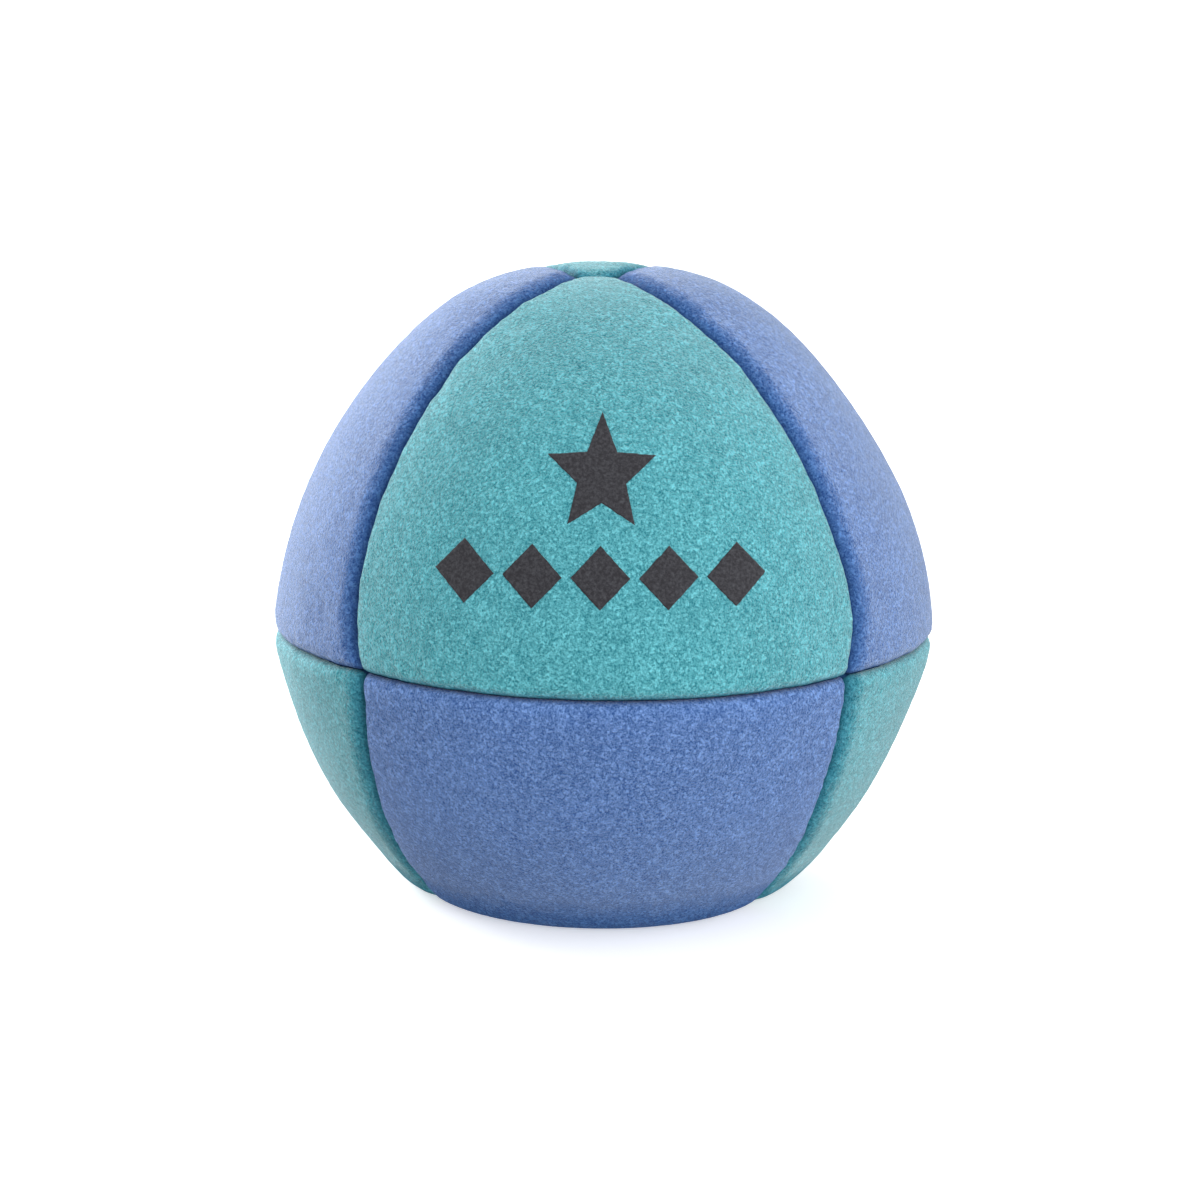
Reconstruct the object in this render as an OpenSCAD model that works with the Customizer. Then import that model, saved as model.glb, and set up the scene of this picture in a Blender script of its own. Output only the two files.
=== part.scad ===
// Eight-panel bean-bag juggling ball, standing on the flat that its own weight
// makes. Eight suede panels, an octant each, are sewn inside out with turned-in
// edges, so every seam is a narrow valley between two pillowed panels.
// Origin: middle of the flat it stands on. +Z is up, and the printed panel
// faces -Y. Millimetres.

/* [Overall shape] */
// Distance from a panel's own upright axis to its side, at the equator seam
side_reach = 29.5; // [28:0.25:31]
// Distance of that axis from each of the panel's two upright seams
seam_pinch = 2.2; // [1:0.1:3]
// Height of the equator seam above the flat
equator_height = 27.2; // [26:0.2:28]

/* [Upper half] */
// Radius of the upper panels' sides, seen from the side
upper_side_radius = 40; // [38:0.5:44]
// Inward lean of the upper sides where they leave the equator, in degrees
upper_lean = 2.5; // [1:0.5:4]
// Radius of the crown that closes the top
crown_radius = 20; // [16:0.5:24]

/* [Lower half] */
// Radius of the lower panels' sides, seen from the side
lower_side_radius = 38.5; // [37:0.5:42]
// Inward lean of the lower sides where they leave the equator, in degrees
lower_lean = 5; // [3:0.5:7]
// Radius of the rim round the flat
rim_radius = 5; // [4.5:0.25:7]

/* [Fabric and seams] */
// Thickness of the suede
fabric = 1; // [0.8:0.1:1.2]
// How deep the turned-in edges reach below the outer surface
seam_allowance = 4; // [3.5:0.25:4.25]
// Depth of the machine stitches below the outer surface
stitch_depth = 2.2; // [1.8:0.1:2.6]
// Length of one machine stitch
stitch_length = 3; // [2.5:0.25:4]
// Diameter of the sewing thread
thread_d = 0.4; // [0.3:0.05:0.5]
// Length of the hand-closed gap that the ball is filled through
filling_gap = 36; // [27:3:42]

/* [Filling] */
// Diameter of one granule
granule_d = 6; // [5.5:0.25:7]
// Space between neighbouring granules
granule_gap = 0.6; // [0.3:0.1:1]

/* [Printed motif] */
// Thickness of the ink film
ink = 0.12; // [0.08:0.02:0.2]
// Height of the star's centre above the flat
star_height = 46.4; // [44:0.2:48]
// Radius of the star's points
star_radius = 5.2; // [4:0.2:6]
// Height of the row of lozenges above the flat
row_height = 37.6; // [36:0.2:39]
// Width of one lozenge
lozenge_w = 5.4; // [4:0.2:6]
// Height of one lozenge
lozenge_h = 5.6; // [4:0.2:6]
// Number of lozenges in the row
lozenges = 5; // [3:1:5]

/* [Hidden] */

// Longer than anything in the ball
far = 100;
// Facets for the panels' curves, and for threads and needle holes
smooth = 180;
fine = 24;

// Azimuths that the panels face, and of the seams between them
front = -90;
right = 0;
back = 90;
left = 180;
front_left = -135;
front_right = -45;
back_right = 45;
back_left = 135;

// Arc centres of the panel's side view, as [distance from the panel's axis,
// height above the equator], and the angles where one arc runs into the next
upper_centre = [
    side_reach - upper_side_radius * cos(upper_lean),
    -upper_side_radius * sin(upper_lean)
];
crown_z = upper_centre.y + sqrt(pow(upper_side_radius - crown_radius, 2) - pow(upper_centre.x, 2));
crown_turn = atan2(crown_z - upper_centre.y, -upper_centre.x);
lower_centre = [
    side_reach - lower_side_radius * cos(lower_lean),
    lower_side_radius * sin(lower_lean)
];
rim_z = rim_radius - equator_height;
rim_reach = lower_centre.x
    + sqrt(pow(lower_side_radius - rim_radius, 2) - pow(lower_centre.y - rim_z, 2));
rim_turn = atan2(lower_centre.y - rim_z, rim_reach - lower_centre.x);
// The panels' crown and rim are moved this far outward, so that their arcs
// cross the sides' arcs instead of only touching them
arc_lap = 0.01;

// The machine threads lie against the inner faces of the turned-in edges
thread_side = fabric + thread_d / 2 + 0.05;
needle_hole_r = thread_d * 0.4;
// Upright seams start this far from the equator plane, and the short ones stop
// this far from the axis, clear of the seams that cross them
seam_end = 2.4;
// Slack round a thread where it goes through suede
hole_slack = 0.03;
// The thread's knuckles, where one arc of a seam runs into the next
knuckle_r = thread_d * 0.65;
knuckle_h = thread_d + 0.04;
// Angle that the equator's thread runs past each octant to reach the next
equator_overrun = asin(seam_pinch / (side_reach - stitch_depth));
// The hand stitches lie inside the two folds, half a thickness from the seam
hand_depth = 0.8;
hand_thread_r = 0.25;
hand_rung_r = 0.2;
hand_corner_r = 0.27;
hand_knot_r = 0.42;
hand_radius = side_reach - hand_depth;
gap_angle = filling_gap / hand_radius * 180 / PI;
gap_start = 45 - gap_angle / 2;
gap_end = 45 + gap_angle / 2;
hand_stitches = round(filling_gap / stitch_length);

granule_pitch = granule_d + granule_gap;
lattice_reach = ceil(side_reach * 1.5 / granule_pitch);

// ---- Panel shape ---------------------------------------------------------

// Wedge of the plane between two angles, seen from a point
module wedge(centre, from_angle, to_angle) {
    translate(centre) polygon([
        [0, 0],
        far * 2 * [cos(from_angle), sin(from_angle)],
        far * 2 * [cos(to_angle), sin(to_angle)]
    ]);
}

// Half side view of an upper panel, this deep below its surface
module upper_profile(depth) {
    intersection() {
        union() {
            intersection() {
                translate(upper_centre) circle(r = upper_side_radius - depth, $fn = smooth);
                wedge(upper_centre, -upper_lean, crown_turn);
            }
            translate([0, crown_z + arc_lap]) circle(r = crown_radius - depth, $fn = smooth);
        }
        square(far);
    }
}

// Half side view of a lower panel: side, rim and flat
module lower_profile(depth) {
    intersection() {
        union() {
            intersection() {
                translate(lower_centre) circle(r = lower_side_radius - depth, $fn = smooth);
                wedge(lower_centre, -rim_turn, lower_lean);
            }
            translate([rim_reach + arc_lap, rim_z]) circle(r = rim_radius - depth, $fn = smooth);
            translate([0, depth - equator_height]) square([rim_reach + arc_lap, equator_height]);
        }
        translate([0, -far]) square(far);
    }
}

// The whole turned body that a panel in the +X +Y corner is cut from
module bulge(upper, depth) {
    translate([seam_pinch, seam_pinch, 0]) rotate_extrude($fn = smooth)
        if (upper) upper_profile(depth);
        else lower_profile(depth);
}

// The +X +Y corner above or below the equator, this far inside its three planes
module octant(upper, gap) {
    translate([gap, gap, upper ? gap : -far - gap]) cube(far);
}

// One panel in the +X +Y corner: the suede skin and its three turned-in edges
module bare_panel(upper) {
    difference() {
        intersection() {
            bulge(upper, 0);
            octant(upper, 0);
        }
        intersection() {
            bulge(upper, fabric);
            octant(upper, fabric);
        }
        bulge(upper, seam_allowance);
    }
}

// A panel facing an azimuth, with its needle holes. long_seam is the azimuth,
// seen from the corner, of the long seam that crosses the end of the other one.
module panel(upper, azimuth, long_seam, hand_closed = false) {
    translate([0, 0, equator_height]) rotate([0, 0, azimuth - 45]) difference() {
        bare_panel(upper);
        for (seam = [0, 90]) rotate([90, 0, seam]) seam_holes(upper);
        equator_holes(hand_closed);
        rotate([90, 0, long_seam])
            for (side = [-1, 1]) seam_rods(upper, side, 0, hole_slack);
        for (side = [-1, 1]) equator_rod(side, -equator_overrun, 90 + equator_overrun, hole_slack);
        if (hand_closed) hand_stitching(hole_slack);
    }
}

// ---- Machine stitching ---------------------------------------------------

// Part of a ring of thread in the XY plane
module arc_rod(centre, radius, from_angle, to_angle, rod_r) {
    translate(centre) rotate([0, 0, from_angle])
        rotate_extrude(angle = to_angle - from_angle, $fn = smooth)
            translate([radius, 0]) circle(r = rod_r, $fn = fine);
}

// Arcs of an upright seam at the depth of its stitches, drawn flat with X out
// from the ball's axis and Y up: [centre, radius, first angle, last angle].
// gap is the distance from the axis where the last arc ends.
function upper_arcs(gap) = [
    [
        [seam_pinch + upper_centre.x, upper_centre.y], upper_side_radius - stitch_depth,
        asin((seam_end - upper_centre.y) / (upper_side_radius - stitch_depth)), crown_turn
    ],
    [
        [seam_pinch, crown_z], crown_radius - stitch_depth,
        crown_turn, acos((gap - seam_pinch) / (crown_radius - stitch_depth))
    ]
];
function lower_arcs() = [
    [
        [seam_pinch + lower_centre.x, lower_centre.y], lower_side_radius - stitch_depth,
        -rim_turn, -asin((seam_end + lower_centre.y) / (lower_side_radius - stitch_depth))
    ],
    [[seam_pinch + rim_reach, rim_z], rim_radius - stitch_depth, -90, -rim_turn]
];
function seam_arcs(upper, gap) = upper ? upper_arcs(gap) : lower_arcs();

// Where a seam's first arc runs into its second
function seam_turn(upper) =
    let (arc = seam_arcs(upper, 0)[0], angle = upper ? arc[3] : arc[2])
        arc[0] + arc[1] * [cos(angle), sin(angle)];

// Height of the lower seams' straight stretch, over the flat
flat_stitch_z = stitch_depth - equator_height;

// The thread along one side of an upright seam, drawn flat
module seam_rods(upper, side, gap, slack = 0) {
    rod_r = thread_d / 2 + slack;
    translate([0, 0, side * thread_side]) {
        for (arc = seam_arcs(upper, gap)) arc_rod(arc[0], arc[1], arc[2], arc[3], rod_r);
        translate(seam_turn(upper)) cylinder(r = knuckle_r, h = knuckle_h, center = true, $fn = fine);
        if (!upper) translate([gap, flat_stitch_z, 0]) rotate([0, 90, 0])
            cylinder(r = rod_r, h = seam_pinch + rim_reach - gap, $fn = fine);
    }
}

function stitch_count(length) = max(1, round(length / stitch_length));
function arc_length(arc) = arc[1] * (arc[3] - arc[2]) * PI / 180;

// Where the needle went through an upright seam, drawn flat
function stitch_points(upper, gap) = concat(
    [
        for (arc = seam_arcs(upper, gap))
            let (count = stitch_count(arc_length(arc)), step = (arc[3] - arc[2]) / count)
                for (i = [0 : count - 1])
                    let (angle = arc[2] + (i + 0.5) * step)
                        arc[0] + arc[1] * [cos(angle), sin(angle)]
    ],
    upper ? [] : [
        let (run = seam_pinch + rim_reach - gap, count = stitch_count(run))
            for (i = [0 : count - 1]) [gap + (i + 0.5) * run / count, flat_stitch_z]
    ]
);

// The short bits of thread that dip from one side to the middle of the seam
module seam_dips(upper, side, gap) {
    for (point = stitch_points(upper, gap))
        translate([point.x, point.y, side > 0 ? 0 : -thread_side])
            cylinder(r = needle_hole_r, h = thread_side, $fn = fine);
}

module seam_holes(upper) {
    for (point = stitch_points(upper, seam_end))
        translate([point.x, point.y, -thread_side])
            cylinder(r = needle_hole_r + hole_slack, h = 2 * thread_side, $fn = fine);
}

// One thread of a short upright seam at this azimuth
module short_seam_thread(upper, azimuth, side) {
    translate([0, 0, equator_height]) rotate([90, 0, azimuth]) {
        seam_rods(upper, side, seam_end);
        seam_dips(upper, side, seam_end);
    }
}

// One thread of the long seam, which runs over the pole from azimuth to azimuth
module long_seam_thread(upper, side) {
    translate([0, 0, equator_height]) {
        rotate([90, 0, front_right]) {
            seam_rods(upper, side, 0);
            seam_dips(upper, side, seam_end);
        }
        rotate([90, 0, back_left]) {
            seam_rods(upper, -side, 0);
            seam_dips(upper, -side, seam_end);
        }
    }
}

// ---- Equator seam, in the frame of one octant -----------------------------

module equator_rod(side, from_angle, to_angle, slack = 0) {
    translate([0, 0, side * thread_side])
        arc_rod([seam_pinch, seam_pinch], side_reach - stitch_depth,
            from_angle, to_angle, thread_d / 2 + slack);
}

// Angles where the needle went through between two angles of an octant
function equator_angles(from_angle, to_angle) =
    let (
        length = (side_reach - stitch_depth) * (to_angle - from_angle) * PI / 180,
        count = stitch_count(length),
        step = (to_angle - from_angle) / count
    )
    [for (i = [0 : count - 1]) from_angle + (i + 0.5) * step];

// A gap in the equator's machine stitches is left in the back octant
function open_angles(hand_closed) = hand_closed
    ? concat(equator_angles(0, gap_start), equator_angles(gap_end, 90))
    : equator_angles(0, 90);

module equator_pegs(angles, radius, low, high) {
    for (angle = angles)
        translate([
            seam_pinch + (side_reach - stitch_depth) * cos(angle),
            seam_pinch + (side_reach - stitch_depth) * sin(angle), low
        ]) cylinder(r = radius, h = high - low, $fn = fine);
}

module equator_holes(hand_closed) {
    equator_pegs(open_angles(hand_closed), needle_hole_r + hole_slack, -thread_side, thread_side);
}

// One thread of the equator seam, right round from one side of the gap to the other
module equator_thread(side) {
    translate([0, 0, equator_height]) {
        for (azimuth = [front, right, left]) rotate([0, 0, azimuth - 45]) {
            equator_rod(side, -equator_overrun, 90 + equator_overrun);
            equator_pegs(open_angles(false), needle_hole_r, min(0, side * thread_side),
                max(0, side * thread_side));
        }
        rotate([0, 0, back - 45]) {
            equator_rod(side, -equator_overrun, gap_start);
            equator_rod(side, gap_end, 90 + equator_overrun);
            equator_pegs(open_angles(true), needle_hole_r, min(0, side * thread_side),
                max(0, side * thread_side));
        }
    }
}

// The place along the gap where one hand stitch ends and the next begins
module hand_place(i, step) {
    translate([seam_pinch, seam_pinch, 0]) rotate([0, 0, gap_start + i * step])
        translate([hand_radius, 0, 0]) children();
}

// The ladder stitch that closes the gap: it runs inside one fold, crosses the
// seam, runs inside the other fold, and so on, with a knot at each end
module hand_stitching(slack = 0) {
    step = gap_angle / hand_stitches;
    for (i = [0 : hand_stitches - 1])
        translate([0, 0, (i % 2 == 0 ? 1 : -1) * fabric / 2])
            arc_rod([seam_pinch, seam_pinch], hand_radius, gap_start + i * step,
                gap_start + (i + 1) * step, hand_thread_r + slack);
    for (i = [1 : hand_stitches - 1])
        hand_place(i, step) {
            translate([0, 0, -fabric / 2]) cylinder(r = hand_rung_r + slack, h = fabric, $fn = fine);
            for (z = [-1, 1] * fabric / 2)
                translate([0, 0, z]) sphere(r = hand_corner_r + slack, $fn = fine);
        }
    for (i = [0, hand_stitches])
        hand_place(i, step) translate([0, 0, (i == 0 || i % 2 == 1 ? 1 : -1) * fabric / 2])
            sphere(r = hand_knot_r + slack, $fn = fine);
}

// ---- Filling --------------------------------------------------------------

// Whether a point is this deep below an outer surface, seen from the panel's
// axis: distance from that axis, and height above the equator
function inside_upper(reach, z, depth) =
    z > reach * tan(crown_turn) + crown_z
        ? norm([reach, z - crown_z]) < crown_radius - depth
        : norm([reach, z] - upper_centre) < upper_side_radius - depth;
function inside_lower(reach, z, depth) =
    norm([reach, z] - lower_centre) < lower_side_radius - depth && z > depth - equator_height;
function inside(x, y, z, depth) =
    let (reach = norm([abs(x) - seam_pinch, abs(y) - seam_pinch]))
        z > 0 ? inside_upper(reach, z, depth) : inside_lower(reach, z, depth);

// A granule fits under the skin, and between or below the turned-in edges
function granule_fits(x, y, z) =
    let (
        skin = fabric + (granule_d + granule_gap) / 2,
        edge = seam_allowance + (granule_d + granule_gap) / 2,
        seam = thread_side + (thread_d + granule_d) / 2
    )
        inside(x, y, z, skin)
            && (inside(x, y, z, edge) || min(abs(x), abs(y), abs(z)) > seam);

// Close-packed layers, in the frame of the seams
module granules() {
    color("ivory") translate([0, 0, equator_height]) rotate([0, 0, 45])
        for (i = [-lattice_reach : lattice_reach])
            for (j = [-lattice_reach : lattice_reach])
                for (k = [-lattice_reach : lattice_reach])
                    if ((i + j + k) % 2 == 0) {
                        at = [i, j, k] * granule_pitch / sqrt(2);
                        if (granule_fits(at.x, at.y, at.z))
                            translate(at) sphere(d = granule_d, $fn = fine);
                    }
}

// ---- Printed motif --------------------------------------------------------

// Five-pointed star
module star() {
    polygon([
        for (i = [0 : 9])
            let (reach = i % 2 == 0 ? star_radius : star_radius * 0.45)
                reach * [sin(i * 36), cos(i * 36)]
    ]);
}

module lozenge() {
    polygon([[-lozenge_w / 2, 0], [0, -lozenge_h / 2], [lozenge_w / 2, 0], [0, lozenge_h / 2]]);
}

module motif_outline() {
    translate([0, star_height]) star();
    for (i = [0 : lozenges - 1])
        translate([(i - (lozenges - 1) / 2) * (lozenge_w + 0.8), row_height]) lozenge();
}

module motif() {
    color("black") intersection() {
        translate([0, 0, equator_height]) rotate([0, 0, front - 45]) difference() {
            bulge(true, -ink);
            bulge(true, 0);
        }
        rotate([90, 0, 0]) linear_extrude(far) motif_outline();
    }
}

// ---- Named pieces ---------------------------------------------------------

teal = [0.35, 0.66, 0.69];
blue = [0.36, 0.47, 0.72];
navy = [0.08, 0.12, 0.28];

module upper_front_panel() { color(teal) panel(true, front, 90); }
module upper_right_panel() { color(blue) panel(true, right, 0); }
module upper_back_panel() { color(teal) panel(true, back, 90, true); }
module upper_left_panel() { color(blue) panel(true, left, 0); }
module lower_front_panel() { color(blue) panel(false, front, 90); }
module lower_right_panel() { color(teal) panel(false, right, 0); }
module lower_back_panel() { color(blue) panel(false, back, 90, true); }
module lower_left_panel() { color(teal) panel(false, left, 0); }

module upper_front_left_needle_thread() { color(navy) short_seam_thread(true, front_left, 1); }
module upper_front_left_bobbin_thread() { color(navy) short_seam_thread(true, front_left, -1); }
module upper_back_right_needle_thread() { color(navy) short_seam_thread(true, back_right, 1); }
module upper_back_right_bobbin_thread() { color(navy) short_seam_thread(true, back_right, -1); }
module upper_long_needle_thread() { color(navy) long_seam_thread(true, 1); }
module upper_long_bobbin_thread() { color(navy) long_seam_thread(true, -1); }
module lower_front_left_needle_thread() { color(navy) short_seam_thread(false, front_left, 1); }
module lower_front_left_bobbin_thread() { color(navy) short_seam_thread(false, front_left, -1); }
module lower_back_right_needle_thread() { color(navy) short_seam_thread(false, back_right, 1); }
module lower_back_right_bobbin_thread() { color(navy) short_seam_thread(false, back_right, -1); }
module lower_long_needle_thread() { color(navy) long_seam_thread(false, 1); }
module lower_long_bobbin_thread() { color(navy) long_seam_thread(false, -1); }
module equator_needle_thread() { color(navy) equator_thread(1); }
module equator_bobbin_thread() { color(navy) equator_thread(-1); }
module closing_thread() {
    color(navy) translate([0, 0, equator_height]) rotate([0, 0, back - 45]) hand_stitching();
}
module granule_filling() { granules(); }
module printed_motif() { motif(); }

upper_front_panel();
upper_right_panel();
upper_back_panel();
upper_left_panel();
lower_front_panel();
lower_right_panel();
lower_back_panel();
lower_left_panel();
upper_front_left_needle_thread();
upper_front_left_bobbin_thread();
upper_back_right_needle_thread();
upper_back_right_bobbin_thread();
upper_long_needle_thread();
upper_long_bobbin_thread();
lower_front_left_needle_thread();
lower_front_left_bobbin_thread();
lower_back_right_needle_thread();
lower_back_right_bobbin_thread();
lower_long_needle_thread();
lower_long_bobbin_thread();
equator_needle_thread();
equator_bobbin_thread();
closing_thread();
granule_filling();
printed_motif();
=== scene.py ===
"""Looks of the juggling ball: eight suede panels sewn with turned-in seams, a printed
motif, and the studio that it stands in. Metres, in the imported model's own frame."""

import math

import bmesh
import bpy
import numpy as np
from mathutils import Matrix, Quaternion, Vector, noise
from mathutils.bvhtree import BVHTree


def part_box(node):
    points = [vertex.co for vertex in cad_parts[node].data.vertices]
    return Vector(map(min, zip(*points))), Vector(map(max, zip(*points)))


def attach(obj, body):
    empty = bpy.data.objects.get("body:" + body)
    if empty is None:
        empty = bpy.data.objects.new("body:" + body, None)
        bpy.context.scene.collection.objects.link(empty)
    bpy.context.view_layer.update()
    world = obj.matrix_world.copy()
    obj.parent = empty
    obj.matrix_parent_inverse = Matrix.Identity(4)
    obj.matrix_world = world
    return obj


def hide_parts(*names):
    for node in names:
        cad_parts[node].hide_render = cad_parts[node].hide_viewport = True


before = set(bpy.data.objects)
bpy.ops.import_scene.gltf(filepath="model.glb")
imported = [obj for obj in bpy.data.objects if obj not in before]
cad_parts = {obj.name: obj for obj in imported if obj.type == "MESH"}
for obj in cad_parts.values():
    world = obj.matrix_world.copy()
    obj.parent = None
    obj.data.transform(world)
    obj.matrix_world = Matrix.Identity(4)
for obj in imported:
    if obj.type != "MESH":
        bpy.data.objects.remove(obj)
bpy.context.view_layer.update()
MM = 0.001

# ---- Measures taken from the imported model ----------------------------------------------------
EQUATOR_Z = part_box("upper_front_panel")[0][2]
PANEL_FRONT = -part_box("upper_front_panel")[0][1]

# ---- Shape of a panel, as in the CAD model ---------------------------------------------------
SEAM_PINCH = 2.2 * MM
SIDE_REACH = PANEL_FRONT - SEAM_PINCH * math.sqrt(2)
UPPER_SIDE_RADIUS = 40 * MM
UPPER_LEAN = math.radians(2.5)
CROWN_RADIUS = 20 * MM
LOWER_SIDE_RADIUS = 38.5 * MM
LOWER_LEAN = math.radians(5)
RIM_RADIUS = 5 * MM
FABRIC = 1 * MM
SEAM_ALLOWANCE = 4 * MM
NEAREST_SURFACE = 15 * MM   # the skin is between these distances from the ball's middle
FARTHEST_SURFACE = 45 * MM
SURFACE_HALVINGS = 40       # steps of the search for it

UPPER_CENTRE = np.array([
    SIDE_REACH - UPPER_SIDE_RADIUS * math.cos(UPPER_LEAN),
    -UPPER_SIDE_RADIUS * math.sin(UPPER_LEAN),
])
CROWN_Z = UPPER_CENTRE[1] + math.sqrt(
    (UPPER_SIDE_RADIUS - CROWN_RADIUS) ** 2 - UPPER_CENTRE[0] ** 2
)
CROWN_SLOPE = (CROWN_Z - UPPER_CENTRE[1]) / -UPPER_CENTRE[0]
LOWER_CENTRE = np.array([
    SIDE_REACH - LOWER_SIDE_RADIUS * math.cos(LOWER_LEAN),
    LOWER_SIDE_RADIUS * math.sin(LOWER_LEAN),
])
RIM_Z = RIM_RADIUS - EQUATOR_Z
RIM_REACH = LOWER_CENTRE[0] + math.sqrt(
    (LOWER_SIDE_RADIUS - RIM_RADIUS) ** 2 - (LOWER_CENTRE[1] - RIM_Z) ** 2
)
RIM_SLOPE = (LOWER_CENTRE[1] - RIM_Z) / (RIM_REACH - LOWER_CENTRE[0])

# ---- Seams and surface -----------------------------------------------------------------------
SEAM_DEPTH = 1.1 * MM       # how far the panels' edges roll down into the seams
CORNER_ROUND = 0.55         # how softly a panel's corners are rounded, against its rolls
# How wide the edges roll over: the front and back panels stand proud of the side ones, and
# the upper panels of the lower ones
PROUD_ROLL = 1.0 * MM
TUCKED_ROLL = 2.5 * MM
LOWER_ROLL = 1.4 * MM
# How far the painted shade of the seam beside them darkens the nap of those two kinds of panels
PROUD_SHADE = 0.9 * MM
TUCKED_SHADE = 3.2 * MM
OVERHANG_SHADE = 0.9 * MM   # the same, for the upper panels' edges over the equator seam
FLOOR_SHADE = 5.5 * MM      # and for the lower panels where they stand on the floor, as painted contact shade
NAP = 0.05 * MM             # how far the nap's tufts stand out of the surface
NAP_SIZE = 0.7 * MM
PUCKER = 0.18 * MM          # height of the small gathers along the seams
PUCKER_LONG = 2.2 * MM      # length of the wide ones
PUCKER_SHORT = 0.9 * MM     # and of the narrow ones
PUCKER_SHORT_SHARE = 0.8    # height of the narrow ones against the wide ones
PUCKER_REACH = 1.8 * MM     # how far from the seams the gathers fade away
GRID = 132                  # rows of faces across a panel
CROWDING = 1.6              # above 1, the rows are closer together near the seams
ELSEWHERE = 0.3             # shift in metres that makes a second noise unlike the first
SIM_GRID = 40               # rows of faces across a panel in the cloth simulation
SIM_WELD = 0.02 * MM        # its points nearer than about this are sewn into one
SIM_FRAMES = 20             # frames that the simulation runs for
SIM_START = 0.35 * MM       # how far inside the final surface it starts
SIM_CAP = 1.2 * MM          # the furthest that it may move a point
ON_SEAM = 1e-6 * MM         # points this near a seam's plane stay in it
SIM_SHARE = 0.4             # share of the simulated moves that the panels take
OPEN_REACH = 8 * MM         # a panel's open middle begins about this far from its seams
SIM_SOFTEN = 0.6            # its result is averaged this far round, in rows of its grid
FLAT_FADE = 3 * MM          # height over the floor where the shape is free to differ
GROOVE_START = 0.7          # share of the seams' depth below which faces take the seams' material, whose dark tones are painted shade
PRESSED_PATCHES = 0.25      # how unevenly the nap is pressed down towards a seam
SHEENS = (0.72, 0.5, 0.3, 0.15, 0.04)   # sheen of the nap, from open to pressed beside a seam
# How much of that sheen the light catches, by colour and whether it's an upper panel
SHEEN_SHARES = {
    ("teal_suede", True): 0.8,
    ("teal_suede", False): 0.85,
    ("blue_suede", True): 1.0,
    ("blue_suede", False): 0.4,
}

# Azimuth that each panel faces, in degrees, whether it's an upper one, and its slot
PANELS = {
    "upper_front_panel": (-90, True, "teal_suede"),
    "upper_right_panel": (0, True, "blue_suede"),
    "upper_back_panel": (90, True, "teal_suede"),
    "upper_left_panel": (180, True, "blue_suede"),
    "lower_front_panel": (-90, False, "blue_suede"),
    "lower_right_panel": (0, False, "teal_suede"),
    "lower_back_panel": (90, False, "blue_suede"),
    "lower_left_panel": (180, False, "teal_suede"),
}


# ---- Panel surface ---------------------------------------------------------------------------
def depth_inside(points, upper):
    """How far points of the +X +Y corner are below a panel's smooth outer surface."""
    reach = np.hypot(points[:, 0] - SEAM_PINCH, points[:, 1] - SEAM_PINCH)
    z = points[:, 2]
    if upper:
        side = UPPER_SIDE_RADIUS - np.hypot(reach - UPPER_CENTRE[0], z - UPPER_CENTRE[1])
        crown = CROWN_RADIUS - np.hypot(reach, z - CROWN_Z)
        return np.where(z > reach * CROWN_SLOPE + CROWN_Z, crown, side)
    side = LOWER_SIDE_RADIUS - np.hypot(reach - LOWER_CENTRE[0], z - LOWER_CENTRE[1])
    rim = RIM_RADIUS - np.hypot(reach - RIM_REACH, z - RIM_Z)
    flat = z + EQUATOR_Z
    below_rim = z - RIM_Z < -(reach - RIM_REACH) * RIM_SLOPE
    return np.where(below_rim, np.where(reach > RIM_REACH, rim, flat), side)


def on_surface(directions, upper):
    """Where rays from the ball's middle leave the smooth outer surface."""
    near = np.full(len(directions), NEAREST_SURFACE)
    far = np.full(len(directions), FARTHEST_SURFACE)
    for _ in range(SURFACE_HALVINGS):
        middle = (near + far) / 2
        inside = depth_inside(directions * middle[:, None], upper) > 0
        near = np.where(inside, middle, near)
        far = np.where(inside, far, middle)
    return directions * near[:, None]


def triangle_grid(rows):
    """Barycentric places of a triangular grid, its faces, and its border in order."""
    index = {}
    places = []
    for i in range(rows + 1):
        for j in range(rows + 1 - i):
            index[i, j] = len(places)
            places.append((i, j, rows - i - j))
    faces = []
    for i in range(rows):
        for j in range(rows - i):
            faces.append((index[i, j], index[i + 1, j], index[i, j + 1]))
            if i + j < rows - 1:
                faces.append((index[i + 1, j], index[i + 1, j + 1], index[i, j + 1]))
    border = [index[i, 0] for i in range(rows)]
    border += [index[rows - j, j] for j in range(rows)]
    border += [index[0, rows - j] for j in range(rows)]
    return np.array(places, float) / rows, faces, border


def unit(vectors):
    """The vectors at a length of one, apart from a zero vector, which stays as it is."""
    return vectors / np.maximum(np.linalg.norm(vectors, axis=1), 1e-12)[:, None]


def to_world(points, azimuth):
    """Turns points of the +X +Y corner to face an azimuth, and lifts them to the equator."""
    turn = math.radians(azimuth - 45)
    x = points[:, 0] * math.cos(turn) - points[:, 1] * math.sin(turn)
    y = points[:, 0] * math.sin(turn) + points[:, 1] * math.cos(turn)
    return np.stack([x, y, points[:, 2] + EQUATOR_Z], axis=1)


def soft_min(distances, softness):
    """The smallest of three distances, rounded where two of them are alike."""
    a, b, c = (distances[:, k] for k in range(3))
    for other in (b, c):
        h = np.clip(softness - np.abs(a - other), 0, None) / softness
        a = np.minimum(a, other) - h * h * softness / 4
    return a


def seam_sink(points, azimuth, upper):
    """How far down the edge roll takes each point, by its distance from the seams."""
    upright = PROUD_ROLL if azimuth in (-90, 90) else TUCKED_ROLL
    widths = [upright, upright, PROUD_ROLL if upper else LOWER_ROLL]
    distance = soft_min(np.abs(points) / widths, CORNER_ROUND)
    across = np.clip(1 - distance, 0, 1)
    over_corner = np.clip(-distance, 0, None)
    return SEAM_DEPTH * (1 - np.sqrt(1 - across ** 2) + over_corner)


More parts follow.
